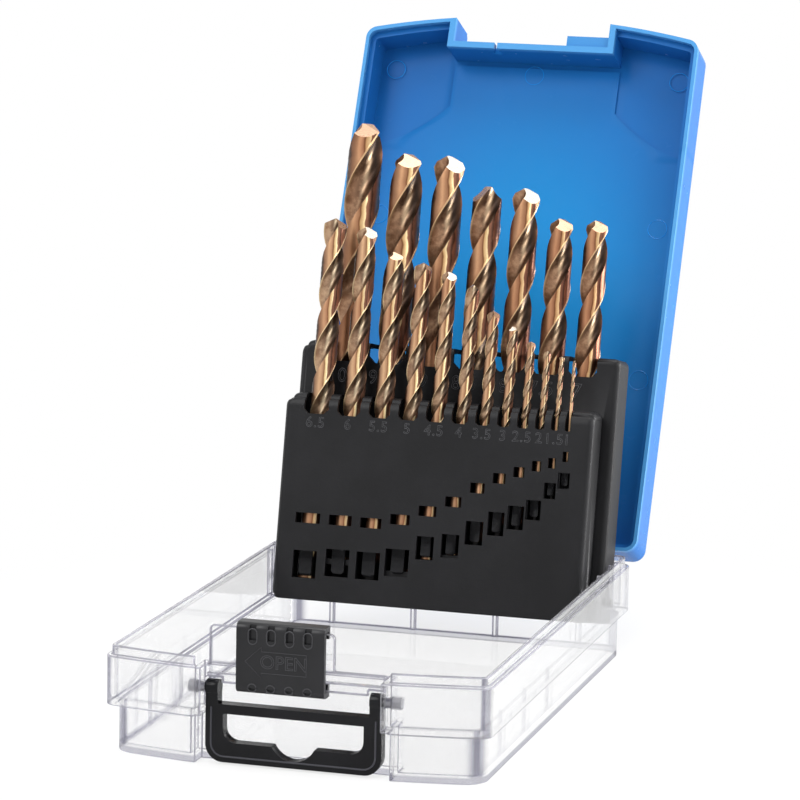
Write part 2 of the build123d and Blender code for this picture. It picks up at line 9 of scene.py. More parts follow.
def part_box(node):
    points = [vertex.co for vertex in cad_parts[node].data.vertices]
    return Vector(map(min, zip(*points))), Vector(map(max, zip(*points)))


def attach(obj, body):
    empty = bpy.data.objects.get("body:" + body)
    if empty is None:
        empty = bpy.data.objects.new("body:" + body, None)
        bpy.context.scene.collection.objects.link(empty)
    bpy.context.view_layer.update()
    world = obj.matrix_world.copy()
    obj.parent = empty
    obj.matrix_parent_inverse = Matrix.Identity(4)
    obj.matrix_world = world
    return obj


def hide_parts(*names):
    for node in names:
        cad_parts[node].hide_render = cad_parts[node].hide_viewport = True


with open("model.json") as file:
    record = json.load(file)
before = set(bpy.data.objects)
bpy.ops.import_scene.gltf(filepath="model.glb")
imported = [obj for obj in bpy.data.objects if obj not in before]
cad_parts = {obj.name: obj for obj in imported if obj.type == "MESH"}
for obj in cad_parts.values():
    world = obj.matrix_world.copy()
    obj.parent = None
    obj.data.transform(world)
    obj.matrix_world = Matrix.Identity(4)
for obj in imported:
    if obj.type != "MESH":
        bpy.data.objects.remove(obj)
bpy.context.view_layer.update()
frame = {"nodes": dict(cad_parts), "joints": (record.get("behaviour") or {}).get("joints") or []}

bl_info = {
    "name": "Drill bit case",
    "version": (1, 0, 0),
    "blender": (4, 5, 0),
    "location": "View3D > Sidebar > Bit case",
    "description": "Builds the looks of a drill bit case around its solid model",
    "category": "Object",
}

MM = 0.001


def rgb(code):
    """A linear colour from its six-figure code on the screen."""
    parts = [int(code[i:i + 2], 16) / 255 for i in (0, 2, 4)]
    return tuple(c / 12.92 if c <= 0.04045 else ((c + 0.055) / 1.055) ** 2.4 for c in parts)


def colour_setting(name, description, code):
    """A colour setting with its default."""
    return bpy.props.FloatVectorProperty(name=name, description=description, default=rgb(code),
                                         size=3, subtype="COLOR", min=0, max=1)


# Flute length of each bit in millimetres, by node name
FLUTE_LENGTHS = {
    "bit_10_0": 87, "bit_9_5": 81, "bit_9_0": 81, "bit_8_5": 75, "bit_8_0": 75,
    "bit_7_5": 69, "bit_7_0": 69, "bit_6_5": 63, "bit_6_0": 57, "bit_5_5": 57,
    "bit_5_0": 52, "bit_4_5": 47, "bit_4_0": 43, "bit_3_5": 39, "bit_3_0": 33,
    "bit_2_5": 30, "bit_2_0": 24, "bit_1_5": 18, "bit_1_0": 12,
}
# Where the right-hand lip of each bit points, in degrees from the viewer's right
LIP_TURNS = {
    "bit_10_0": -30, "bit_9_5": -19, "bit_9_0": 10, "bit_8_5": -85, "bit_8_0": 10,
    "bit_7_5": -8, "bit_7_0": -8, "bit_6_5": 35, "bit_6_0": 10, "bit_5_5": -20,
    "bit_5_0": 40, "bit_4_5": 5, "bit_4_0": 70, "bit_3_5": 20, "bit_3_0": -40,
    "bit_2_5": 15, "bit_2_0": 50, "bit_1_5": 0, "bit_1_0": 80,
}
# The bits whose points are painted bright as a highlight; the other points are painted a duller copper
HIGHLIT_POINTS = {"bit_9_0", "bit_8_0", "bit_6_0", "bit_4_5", "bit_3_0"}
# Turn of the lid from shut to open, and the lid in the shut case: rim, middle of the inside, front
LID_OPEN = radians(115)
LID_RIM = 0.02515
LID_MIDDLE = (0, 0.004, 0.038)
LID_FRONT = -0.076
# Soft step round the inside of the lid: back from its front, and out from its middle
PANEL_NECK_START = 0.019
PANEL_NECK_END = 0.032
PANEL_NECK_HALF = 0.0255
PANEL_HALF = 0.038
# Round marks of the mould's pins inside the lid: across and back from the hinge, in millimetres
LID_RINGS = [(43, 146.4), (-43, 146.4), (-0.6, 146.4), (42, 101.2), (-42, 101.2), (42, 55.7), (-42, 55.7)]
LID_RING_R = 2.8 * MM
LID_CEILING = 37.1 * MM
# Clear plastic: bending and absorption, and the shares of light that go straight through
CLEAR_IOR = 1.3
CLEAR_DENSITY = 6.0
CLEAR_STRAIGHT = 0.66
EDGE_STRAIGHT = 0.72
# The tray's foot is grey from the lower height down, and fades out at the upper
CLEAR_FOOT_TOP = 0.0022
CLEAR_FOOT_FULL = 0.0014
# Width of the small rounded edges
TRAY_EDGE = 0.00034
FITTING_EDGE = 0.00022
# Rounding of the racks along their top edge and left top corner, and at their left foot
ROUND_R = 0.004
FOOT_ROUND_R = 0.0025
ROUND_STEPS = 8
# Each black: roughness, waves of grain per metre, depth of the grain in metres, gloss
BLACK_FINISHES = {
    "rack_black": (0.44, 1100.0, 0.00004, 0.21),
    "latch_black": (0.36, 1500.0, 0.00003, 0.28),
    "handle_black": (0.18, 1800.0, 0.00001, 0.14),
}
DUST = (0.09, 0.09, 0.095)
WHITE = (1, 1, 1, 1)
# Past this distance from the middle the handle's pins are grey
PIN_REACH = 23.4 * MM
# How far the viewer stands round to the right of the case's front
VIEW_TURN = radians(16)
# Radius of the land behind the margin, as a share of the bit's radius
LAND_CLEARANCE = 0.97
# The section from the lip round, in degrees: the ground margin and the land behind it
MARGIN_ANGLES = (0, 2, 4.5)
LAND_ANGLES = (7, 24, 39, 54, 69, 84)
# Curve of the flute from the heel to the other lip, as shares of the bit's radius, and its points
FLUTE_CURVE = [(0.035, -0.965), (0.05, -0.30), (-0.30, -0.10), (-1.0, 0.0)]
FLUTE_POINTS = 14
# Half width of the chisel edge at the point, as a share of the bit's radius
CHISEL_HALF = 0.14
# Painted light: bits of less than this radius are painted paler, by this factor
PALE_BELOW = 0.0034
PAINTED_LIGHT_FACTOR = (1.26, 1.42, 1.52)
# The part of each shank that gets painted shade inside its pocket, from its foot
FOOT_TOP = 0.0009
DARK_TOP = 0.0075
# Steps of the flutes in one full turn
FLUTE_STEPS = 24
FRONT_ROW = ["6_5", "6_0", "5_5", "5_0", "4_5", "4_0", "3_5", "3_0", "2_5", "2_0", "1_5", "1_0"]
REAR_ROW = ["10_0", "9_5", "9_0", "8_5", "8_0", "7_5", "7_0"]
# Size marks: their bits, the rack, and their height and place up its face in millimetres
MARK_ROWS = ((FRONT_ROW, "front_rack", 2.9, 43.4), (REAR_ROW, "rear_rack", 3.8, 57.2))
# Thickness of each kind of raised line, and how far the lines stand off or into a face
MARK_LINE = 0.00006
ARROW_LINE = 0.00013
WORD_LINE = 0.00012
GRIP_LINE = 0.00016
BEAD_LINE = 0.0003
RING_LINE = 0.00010
LINE_SHIFT = 0.00002
BEAD_SHIFT = 0.00046
# Bands of reflected light across a bit, from its left to its right
LAND_BANDS = [
    (0.00, "17100d"), (0.06, "3c261a"), (0.12, "866048"), (0.30, "ae8462"), (0.45, "9a6e50"),
    (0.49, "6e4428"), (0.53, "c8a070"), (0.62, "e2c898"), (0.65, "6a4432"), (0.78, "40281d"),
    (0.82, "96644e"), (0.93, "aa7860"), (1.00, "3c261c")]
# Painted shade and reflection in the flutes, in bands from the bit's left to its right
FLUTE_BANDS = [
    (0.00, "2a1a14"), (0.08, "80593f"), (0.30, "8a6850"), (0.46, "5a4030"), (0.62, "3a281c"),
    (0.80, "271b14"), (0.93, "3c281c"), (1.00, "644430")]
# Lamps: place, width and the setting that holds the power; they all point at one spot
LAMPS = {
    "key_lamp": ((-0.55, -0.75, 0.95), 0.8, "key_power"),
    "fill_lamp": ((0.9, -0.35, 0.55), 0.6, "fill_power"),
    "top_lamp": ((0.1, 0.15, 1.1), 0.7, "top_power"),
    "side_lamp": ((0.68, 0.42, 0.22), 0.45, "side_power"),
}
LAMP_TARGET = Vector((0, 0.03, 0.08))
# From lying flat to upright, facing the front
UPRIGHT = Matrix.Rotation(pi / 2, 4, "X")


# -------------------- settings

class CaseStageSettings(bpy.types.PropertyGroup):
    """Floor, light and camera."""
    camera_place: bpy.props.FloatVectorProperty(
        name="Camera place", description="Where the camera stands",
        default=(0.28776, -0.98722, 0.26226), size=3, subtype="TRANSLATION", unit="LENGTH")
    camera_target: bpy.props.FloatVectorProperty(
        name="Camera target", description="The point that the camera looks at",
        default=(0.00256, 0.004, 0.080), size=3, subtype="TRANSLATION", unit="LENGTH")
    camera_roll: bpy.props.FloatProperty(
        name="Camera roll", description="Turn of the camera about its own line of sight",
        default=radians(1.09), subtype="ANGLE")
    camera_lens: bpy.props.FloatProperty(
        name="Lens", description="Focal length of the camera in millimetres", default=179.45)
    floor_size: bpy.props.FloatProperty(
        name="Floor size", description="Side of the square floor", default=12.0, unit="LENGTH")
    world_strength: bpy.props.FloatProperty(
        name="World strength", description="Strength of the light that comes from all round",
        default=0.55)
    key_power: bpy.props.FloatProperty(
        name="Key lamp", description="Power of the large lamp over the left shoulder in watts", default=9.0)
    fill_power: bpy.props.FloatProperty(
        name="Fill lamp", description="Power of the lamp on the right in watts", default=4.0)
    top_power: bpy.props.FloatProperty(
        name="Top lamp", description="Power of the lamp overhead in watts", default=7.0)
    side_power: bpy.props.FloatProperty(
        name="Side lamp", description="Power of the lamp beyond the right side in watts", default=6.5)


class CasePlasticSettings(bpy.types.PropertyGroup):
    """Colours of the moulded plastics."""
    clear_tint: colour_setting("Clear tint", "Tint of the clear tray", "ffffff")
    clear_shade: colour_setting("Clear shade", "Tint of the tray where it is a little denser", "fbfbfd")
    clear_edge: colour_setting("Clear edge", "Tint of a long way through the clear tray", "868593")
    clear_glancing: colour_setting("Clear glancing", "Tint of the tray's curved or edge-on walls", "84839a")
    edge_light: colour_setting("Edge light", "Lighter colour on the tray's narrow edges", "e6e6ea")
    edge_shade: colour_setting("Edge shade", "Darker colour on the tray's narrow edges", "c4c4cc")
    edge_through: colour_setting("Edge through", "Tint seen through the palest edges", "c9c8d4")
    lid_blue: colour_setting("Lid blue", "Main blue of the lid", "1c62a8")
    # The glow, the rims' light blue and the deep blue at the ends are painted light and shade; the deep
    # blue also makes the random mottle
    lid_glow: colour_setting("Lid glow", "Lighter blue at the middle of the lid", "0f86c6")
    lid_rim_light: colour_setting("Lid rim", "Light blue of the lid's rims", "4e92c8")
    lid_shade_and_mottle: colour_setting("Lid deep", "Deep blue near the hinge and the notch", "2a6cb4")
    rack_black: colour_setting("Rack black", "Black of the two racks", "121214")
    fitting_black: colour_setting("Fitting black", "Black of the latch and the handle", "19191b")
    pin_grey: colour_setting("Pin grey", "Grey of the ends of the handle's pins", "8e8e92")
    # Grey painted on the raised outlines of the marks as a highlight
    mark_grey: colour_setting("Mark grey", "Worn grey on the raised outlines of the marks", "4e4e52")


class CaseBitSettings(bpy.types.PropertyGroup):
    """Shape and colours of the drill bits."""
    helix_angle: bpy.props.FloatProperty(
        name="Helix angle", description="Angle of the flutes to the axis at the rim",
        default=radians(30), subtype="ANGLE")
    point_angle: bpy.props.FloatProperty(
        name="Point angle", description="Full angle of the drill point",
        default=radians(135), subtype="ANGLE")
    relief_angle: bpy.props.FloatProperty(
        name="Relief angle", description="Fall of the ground point behind each lip",
        default=radians(18), subtype="ANGLE")
    heel_angle: bpy.props.FloatProperty(
        name="Heel angle", description="Fall of the second facet of the point, down to the heel",
        default=radians(50), subtype="ANGLE")
    rack_lean: bpy.props.FloatProperty(
        name="Rack lean", description="How far the tops of the racks lean back",
        default=radians(12), subtype="ANGLE")
    # Light gold painted on the ground margins as a highlight
    margin_highlight: colour_setting("Edge colour", "Light gold of the ground margins", "c4a27a")
    # Cream of the ground steel, painted bright on the highlit points as a highlight; a duller copper on the
    # others
    point_colour: colour_setting("Point colour", "Cream of the freshly ground points", "faefdd")
    dull_colour: colour_setting("Dull point colour", "Copper of the points that aren't bright", "b99478")
    land_warm: colour_setting("Land warm", "Warm tint in places on the bits' outside", "b9755c")
    land_speck: colour_setting("Land speck", "Darker specks on the bits' outside", "8a5a40")
    # Painted light mottled on the left of the flutes, and a painted highlight streaking down them
    flute_mottled_light: colour_setting("Flute cloud", "Pale mottle in the flutes", "b89272")
    flute_highlight: colour_setting("Flute streak", "Pale streak down the flutes", "c4a888")
    # Painted shade on the shanks inside their pockets
    pocket_shade: colour_setting("Pocket dark", "The shanks inside their pockets", "0c0b0b")


# -------------------- small helpers

def joint_place(name):
    """Where a joint of the frame stands at rest."""
    for joint in frame["joints"]:
        if joint["name"] == name:
            return Vector(joint["pos_m"])
    raise RuntimeError(f"the frame has no joint named {name}")


def rack_matrix(lean):
    """From the rack's own frame, Z along the bits and Y backwards, to the open case."""
    return Matrix.Translation(joint_place("rack_fold")) @ Matrix.Rotation(-lean, 4, "X")


def lid_matrix():
    """From the closed lid's place to the open lid's."""
    hinge = Matrix.Translation(joint_place("lid_hinge"))
    return hinge @ Matrix.Rotation(-LID_OPEN, 4, "X") @ hinge.inverted()


def deselect():
    """Leaves object mode with nothing selected."""
    if bpy.context.object and bpy.context.object.mode != "OBJECT":
        bpy.ops.object.mode_set(mode="OBJECT")
    bpy.ops.object.select_all(action="DESELECT")


def pick(obj):
    """Makes obj the only selected and active object."""
    deselect()
    obj.select_set(True)
    bpy.context.view_layer.objects.active = obj


def select_in_edit(obj, kind, parts, test):
    """Edit mode on obj with only those of its vertices or edges selected that pass a test."""
    pick(obj)
    bpy.ops.object.mode_set(mode="EDIT")
    bpy.ops.mesh.select_mode(type=kind)
    bpy.ops.mesh.select_all(action="DESELECT")
    bpy.ops.object.mode_set(mode="OBJECT")
    for part in getattr(obj.data, parts):
        part.select = test(part)
    bpy.ops.object.mode_set(mode="EDIT")


def apply_modifiers(obj):
    """Applies every modifier of obj."""
    pick(obj)
    for modifier in list(obj.modifiers):
        bpy.ops.object.modifier_apply(modifier=modifier.name)


def settle(obj, matrix=Matrix.Identity(4)):
    """Moves obj's mesh by its own and the given matrix, and leaves the object at the origin."""
    obj.data.transform(matrix @ obj.matrix_basis)
    obj.matrix_basis = Matrix.Identity(4)
    obj.data.update()


def smooth(obj, angle=radians(35)):
    """Smooth shading with sharp edges past an angle."""
    pick(obj)
    bpy.ops.object.shade_smooth_by_angle(angle=angle)


def dress(obj, name, material, body, slot, *nodes):
    """Names a finished piece, gives it its material, and ties it to the frame."""
    obj.name = name
    obj.data.name = name
    if material is not None:
        obj.data.materials.clear()
        obj.data.materials.append(material)
    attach(obj, body)
    if nodes:
        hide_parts(*nodes)


# -------------------- materials

def new_material(name):
    """An empty material with a Principled shader on its output."""
    material = bpy.data.materials.new(name)
    material.use_nodes = True
    tree = material.node_tree
    tree.nodes.clear()
    output = tree.nodes.new("ShaderNodeOutputMaterial")
    shader = tree.nodes.new("ShaderNodeBsdfPrincipled")
    tree.links.new(shader.outputs["BSDF"], output.inputs["Surface"])
    return material, tree, shader


def set_inputs(tree, node, inputs):
    """Sets or links each named input of a node; i0, i1 and so on are inputs by number."""
    for key, value in inputs.items():
        socket = node.inputs[int(key[1:])] if key[0] == "i" and key[1:].isdigit() else node.inputs[key]
        if isinstance(value, bpy.types.NodeSocket):
            tree.links.new(value, socket)
        else:
            socket.default_value = value


def add_node(tree, kind, settings=None, **inputs):
    """A node with its settings, and each named input set or linked."""
    node = tree.nodes.new(kind)
    for key, value in (settings or {}).items():
        setattr(node, key, value)
    set_inputs(tree, node, inputs)
    return node


def set_output(tree, name, result):
    """Puts a shader on the surface or the volume of the material."""
    output = next(n for n in tree.nodes if n.type == "OUTPUT_MATERIAL")
    tree.links.new(result, output.inputs[name])


def place_on(tree, centre=(0, 0, 0), turn=(0, 0, 0), scale=(1, 1, 1)):
    """Object coordinates, centred, turned and scaled."""
    coords = add_node(tree, "ShaderNodeTexCoord")
    moved = add_node(tree, "ShaderNodeMapping", {"vector_type": "TEXTURE"},
                     Vector=coords.outputs["Object"], Location=centre, Rotation=turn)
    return add_node(tree, "ShaderNodeVectorMath", {"operation": "MULTIPLY"},
                    i0=moved.outputs[0], i1=scale).outputs[0]


def place_on_lid(tree, point, scale=(1, 1, 1)):
    """Coordinates square to the open lid, from a point given in the shut case."""
    return place_on(tree, tuple(lid_matrix() @ Vector(point)), (-LID_OPEN, 0, 0), scale)


def axis_of(tree, vector, axis):
    """One coordinate of a vector."""
    return add_node(tree, "ShaderNodeSeparateXYZ", Vector=vector).outputs[axis]


def length_of(tree, vector):
    """The length of a vector."""
    return add_node(tree, "ShaderNodeVectorMath", {"operation": "LENGTH"}, i0=vector).outputs["Value"]


def noise(tree, vector, scale, detail=3.0, roughness=0.5):
    """Noise from 0 to 1 at a scale in waves per metre."""
    return add_node(tree, "ShaderNodeTexNoise", Vector=vector, Scale=scale,
                    Detail=detail, Roughness=roughness).outputs["Fac"]


def span(tree, value, low, high, out_low=0.0, out_high=1.0):
    """A value mapped smoothly from one span to another."""
    return add_node(tree, "ShaderNodeMapRange", {"interpolation_type": "SMOOTHSTEP"},
                    i0=value, i1=low, i2=high, i3=out_low, i4=out_high).outputs[0]


def math_node(tree, operation, first, second=0.0):
    """One arithmetic step."""
    return add_node(tree, "ShaderNodeMath", {"operation": operation}, i0=first, i1=second).outputs[0]


def product(tree, first, *factors):
    """A value multiplied by each factor in turn."""
    for factor in factors:
        first = math_node(tree, "MULTIPLY", first, factor)
    return first


def blend_colour(tree, factor, first, second, kind="MIX"):
    """Two colours mixed."""
    node = tree.nodes.new("ShaderNodeMix")
    node.data_type = "RGBA"
    node.blend_type = kind
    for socket, value in ((node.inputs[0], factor), (node.inputs[6], first), (node.inputs[7], second)):
        if isinstance(value, bpy.types.NodeSocket):
            tree.links.new(value, socket)
        else:
            socket.default_value = value if isinstance(value, float) else (*value[:3], 1.0)
    return node.outputs[2]


def mix_shaders(tree, share, first, second):
    """Two shaders mixed, with a share of the second."""
    return add_node(tree, "ShaderNodeMixShader", i0=share, i1=first, i2=second).outputs[0]


def strips(tree, value, stops):
    """A colour from a value through a list of (place, colour code) stops."""
    node = add_node(tree, "ShaderNodeValToRGB", Fac=value)
    ramp = node.color_ramp
    while len(ramp.elements) < len(stops):
        ramp.elements.new(1.0)
    for element, (place, code) in zip(ramp.elements, stops):
        element.position = place
        element.color = (*rgb(code), 1.0)
    return node.outputs["Color"]


def grain_bump(tree, shader, height, distance, strength=1.0):
    """A bump on the shader from a height."""
    bump = add_node(tree, "ShaderNodeBump", Height=height, Distance=distance, Strength=strength)
    tree.links.new(bump.outputs["Normal"], shader.inputs["Normal"])


def curved_or_foot(tree, normal, spots):
    """1 on the tray's curved edges and round its foot, 0 on its flat walls."""
    sizes = add_node(tree, "ShaderNodeVectorMath", {"operation": "ABSOLUTE"}, i0=normal).outputs[0]
    x, y, z = add_node(tree, "ShaderNodeSeparateXYZ", Vector=sizes).outputs
    flatness = math_node(tree, "MAXIMUM", math_node(tree, "MAXIMUM", x, y), z)
    upright = span(tree, z, 0.3, 0.7, 1.0, 0.0)
    foot = product(tree, upright, span(tree, axis_of(tree, spots, "Z"), CLEAR_FOOT_TOP, CLEAR_FOOT_FULL))
    return math_node(tree, "MAXIMUM", span(tree, flatness, 0.97, 0.82), foot)


def outer_side(tree, normal, spots, bent):
    """1 on the outside of the tray's left and right walls, off their curved edges."""
    outward = product(tree, axis_of(tree, normal, "X"), axis_of(tree, spots, "X"))
    outer = math_node(tree, "GREATER_THAN", outward, 0.02)
    behind = add_node(tree, "ShaderNodeNewGeometry").outputs["Backfacing"]
    return product(tree, outer, math_node(tree, "SUBTRACT", 1.0, behind),
                   math_node(tree, "SUBTRACT", 1.0, bent))


def clear_plastic(settings):
    """Clear moulded plastic: most light goes straight through, and its side walls are glossy."""
    material, tree, shader = new_material("clear_plastic")
    spots = place_on(tree)
    normal = add_node(tree, "ShaderNodeTexCoord").outputs["Normal"]
    facing = add_node(tree, "ShaderNodeLayerWeight", Blend=0.5).outputs["Facing"]
    bent = curved_or_foot(tree, normal, spots)
    grey = math_node(tree, "MAXIMUM", product(tree, bent, 0.8), span(tree, facing, 0.88, 0.99))
    tint = blend_colour(tree, grey, WHITE, settings.clear_glancing)
    straight = add_node(tree, "ShaderNodeBsdfTransparent", Color=tint).outputs[0]
    body = mix_shaders(tree, CLEAR_STRAIGHT, shader.outputs[0], straight)
    gloss = add_node(tree, "ShaderNodeBsdfAnisotropic", Color=WHITE, Roughness=0.12).outputs[0]
    share = product(tree, outer_side(tree, normal, spots, bent), span(tree, facing, 0.40, 0.85, 0.0, 0.46))
    set_output(tree, "Surface", mix_shaders(tree, share, body, gloss))
    depth = add_node(tree, "ShaderNodeVolumeAbsorption",
                     Color=(*settings.clear_edge, 1.0), Density=CLEAR_DENSITY)
    set_output(tree, "Volume", depth.outputs[0])
    flow = noise(tree, spots, 22.0, 2.0)
    scuffs = noise(tree, spots, 900.0, 4.0, 0.6)
    set_inputs(tree, shader, {
        "Base Color": blend_colour(tree, flow, settings.clear_tint, settings.clear_shade),
        "Roughness": span(tree, scuffs, 0.45, 0.8, 0.0, 0.05),
        "Transmission Weight": 1.0, "IOR": CLEAR_IOR})
    grain_bump(tree, shader, noise(tree, spots, 60.0, 1.0), 0.00001, 0.4)
    return material


def clear_edge(settings):
    """The narrow edges of the clear walls, where the plastic looks grey."""
    material, tree, shader = new_material("clear_edge")
    cloud = noise(tree, place_on(tree), 55.0, 3.0, 0.6)
    pale = blend_colour(tree, span(tree, cloud, 0.3, 0.7),
                        settings.edge_light, settings.edge_shade)
    set_inputs(tree, shader, {"Base Color": pale, "Roughness": 0.2})
    through = blend_colour(tree, span(tree, cloud, 0.35, 0.65),
                           settings.clear_edge, settings.edge_through)
    straight = add_node(tree, "ShaderNodeBsdfTransparent", Color=through).outputs[0]
    set_output(tree, "Surface", mix_shaders(tree, EDGE_STRAIGHT, shader.outputs[0], straight))
    return material


def lid_colour(tree, settings, rim, spots):
    """The lid's blue with painted light and shade: a painted glow at the middle of the inside, painted
    light on the rims, painted shade at the ends, and a random mottle.
    """
    flat = place_on_lid(tree, LID_MIDDLE, (11.0, 8.5, 4.0))
    height = axis_of(tree, rim, "Z")
    inside = span(tree, height, 0.0122, 0.0128, 1.0, 0.3)
    deep = span(tree, axis_of(tree, flat, "Y"), -0.1, 0.6, 0.0, 0.6)
    body = blend_colour(tree, deep, settings.lid_blue, settings.lid_shade_and_mottle)
    glow = product(tree, span(tree, length_of(tree, flat), 0.05, 0.80, 0.95, 0.0), inside)
    glowing = blend_colour(tree, glow, body, settings.lid_glow)
    rimmed = blend_colour(tree, span(tree, height, 0.0002, 0.0028, 0.9, 0.0),
                          glowing, settings.lid_rim_light)
    cloud = noise(tree, spots, 14.0, 2.0)
    return blend_colour(tree, span(tree, cloud, 0.35, 0.7, 0.0, 0.16), rimmed, settings.lid_shade_and_mottle)


def lid_step(tree, rim):
    """The height of the step round the inside of the lid, beyond its solid part."""
    wide = math_node(tree, "ABSOLUTE", axis_of(tree, rim, "X"))
    back = axis_of(tree, place_on_lid(tree, (0, LID_FRONT, LID_RIM)), "Y")
    edge = span(tree, back, PANEL_NECK_START, PANEL_NECK_END, PANEL_NECK_HALF, PANEL_HALF)
    step = span(tree, math_node(tree, "SUBTRACT", wide, edge), -0.002, 0.002)
    return product(tree, step, span(tree, back, PANEL_NECK_END + 0.002, PANEL_NECK_END - 0.001))


def blue_plastic(settings):
    """Blue moulded plastic."""
    material, tree, shader = new_material("blue_plastic")
    rim = place_on_lid(tree, (0, 0, LID_RIM))
    spots = place_on(tree)
    set_inputs(tree, shader, {
        "Base Color": lid_colour(tree, settings, rim, spots),
        "Roughness": span(tree, noise(tree, spots, 300.0, 2.0), 0.3, 0.8, 0.22, 0.28),
        "Specular IOR Level": 0.05})
    fine = product(tree, noise(tree, spots, 90.0, 2.0), 0.02)
    grain_bump(tree, shader, math_node(tree, "ADD", lid_step(tree, rim), fine), 0.0004, 0.6)
    return material


def black_plastic(name, colour, ends=None):
    """Black moulded plastic with a fine grain; ends gives a width and the colour past it."""
    rough, grain, depth, gloss = BLACK_FINISHES[name]
    material, tree, shader = new_material(name)
    spots = place_on(tree)
    cloud = noise(tree, spots, 45.0, 4.0, 0.6)
    lighter = tuple(1.6 * c for c in colour)
    base = blend_colour(tree, span(tree, cloud, 0.35, 0.75), colour, lighter)
    dust = noise(tree, spots, 2600.0, 2.0, 0.7)
    dusty = blend_colour(tree, span(tree, dust, 0.72, 0.80, 0.0, 0.16), base, DUST)
    if ends is not None:
        reach, end_colour = ends
        width = math_node(tree, "ABSOLUTE", axis_of(tree, spots, "X"))
        dusty = blend_colour(tree, math_node(tree, "GREATER_THAN", width, reach), dusty, end_colour)
    set_inputs(tree, shader, {
        "Base Color": dusty,
        "Roughness": span(tree, cloud, 0.3, 0.8, rough - 0.04, rough + 0.06),
        "Specular IOR Level": gloss})
    grain_bump(tree, shader, noise(tree, spots, grain, 3.0, 0.6), depth, 0.7)
    return material


def worn_marks(settings):
    """Raised outlines whose tops are painted a light grey as a highlight, darker in patches."""
    material, tree, shader = new_material("worn_marks")
    patchiness = noise(tree, place_on(tree), 900.0, 3.0, 0.6)
    grey = settings.mark_grey
    darker = tuple(0.45 * c for c in grey)
    set_inputs(tree, shader, {
        "Base Color": blend_colour(tree, span(tree, patchiness, 0.35, 0.65), grey, darker),
        "Roughness": span(tree, patchiness, 0.3, 0.7, 0.35, 0.5)})
    return material


def flute_colour(tree, settings, wavy, side, flute, mottle):
    """The hollow of the flutes: painted shade and reflection in bands across the view, painted light
    mottled on the left, and a pale painted highlight streaking down its middle.
    """
    hollow = strips(tree, wavy, FLUTE_BANDS)
    cloudy = blend_colour(tree, span(tree, mottle, 0.38, 0.66, 0.0, 0.7),
                          hollow, settings.flute_mottled_light)
    hollow = blend_colour(tree, product(tree, span(tree, side, 0.75, 0.35), 0.9), hollow, cloudy)
    streak = product(tree, span(tree, flute, 0.30, 0.50), span(tree, flute, 0.72, 0.56))
    lit = product(tree, streak, span(tree, wavy, 0.40, 0.58), span(tree, wavy, 0.80, 0.62))
    return blend_colour(tree, product(tree, lit, 0.75), hollow, settings.flute_highlight)


def land_colour(tree, settings, wavy, spots, fine):
    """The round outside of the bits: painted bands of reflected light and shade across the view, warmed and
    speckled.
    """
    warm = noise(tree, spots, 28.0, 1.0)
    tinted = blend_colour(tree, span(tree, warm, 0.4, 0.62, 0.0, 0.35),
                          strips(tree, wavy, LAND_BANDS), settings.land_warm, "MULTIPLY")
    return blend_colour(tree, span(tree, fine, 0.55, 0.78, 0.0, 0.35), tinted, settings.land_speck)


def bit_metal(settings):
    """Copper-gold steel with painted reflections, highlights and shade, by the two colours that each point
    of a bit stores.
    """
    material, tree, shader = new_material("bit_metal")
    finish, around = (add_node(tree, "ShaderNodeAttribute", {"attribute_name": name}).outputs["Color"]
                      for name in ("finish", "around"))
    land, edge, flute = add_node(tree, "ShaderNodeSeparateColor", Color=finish).outputs
    side, pale, unshaded = add_node(tree, "ShaderNodeSeparateColor", Color=around).outputs
    spots = place_on(tree)
    mottle = noise(tree, spots, 420.0, 4.0, 0.65)
    fine = noise(tree, spots, 1900.0, 3.0, 0.6)
    wave = span(tree, noise(tree, spots, 130.0, 3.0), 0.2, 0.8, -0.06, 0.06)
    wavy = math_node(tree, "ADD", side, wave)
    body = blend_colour(tree, land, flute_colour(tree, settings, wavy, side, flute, mottle),
                        land_colour(tree, settings, wavy, spots, fine))
    # Painted highlight along the ground margins
    bright = blend_colour(tree, edge, body, settings.margin_highlight)
    # Painted light: the small bits are made paler
    bright = blend_colour(tree, pale, bright, blend_colour(tree, 1.0, bright, PAINTED_LIGHT_FACTOR, "MULTIPLY"))
    set_inputs(tree, shader, {
        # Painted shade where the shanks sit in their pockets
        "Base Color": blend_colour(tree, unshaded, settings.pocket_shade, bright),
        "Metallic": 0.8,
        "Roughness": span(tree, fine, 0.3, 0.8, 0.30, 0.42)})
    grain_bump(tree, shader, fine, 0.00002, 0.4)
    return material


def ground_metal(name, cream):
    """The ground facets of the drill point."""
    material, tree, shader = new_material(name)
    spots = place_on(tree, (0, 0, 0), (0.4, 0.2, 0.7), (1, 6, 1))
    lines = noise(tree, spots, 1500.0, 2.0)
    set_inputs(tree, shader, {
        "Base Color": blend_colour(tree, span(tree, lines, 0.3, 0.7), cream, tuple(0.8 * c for c in cream)),
        "Metallic": 0.6,
        "Roughness": span(tree, lines, 0.3, 0.7, 0.22, 0.34)})
    grain_bump(tree, shader, lines, 0.00001, 0.4)
    return material


def seen_directly(tree):
    """1 for rays from the camera, from gloss and through clear plastic."""
    path = add_node(tree, "ShaderNodeLightPath")
    most = math_node(tree, "MAXIMUM", path.outputs["Is Camera Ray"], path.outputs["Is Glossy Ray"])
    return math_node(tree, "MAXIMUM", most, path.outputs["Is Transmission Ray"])


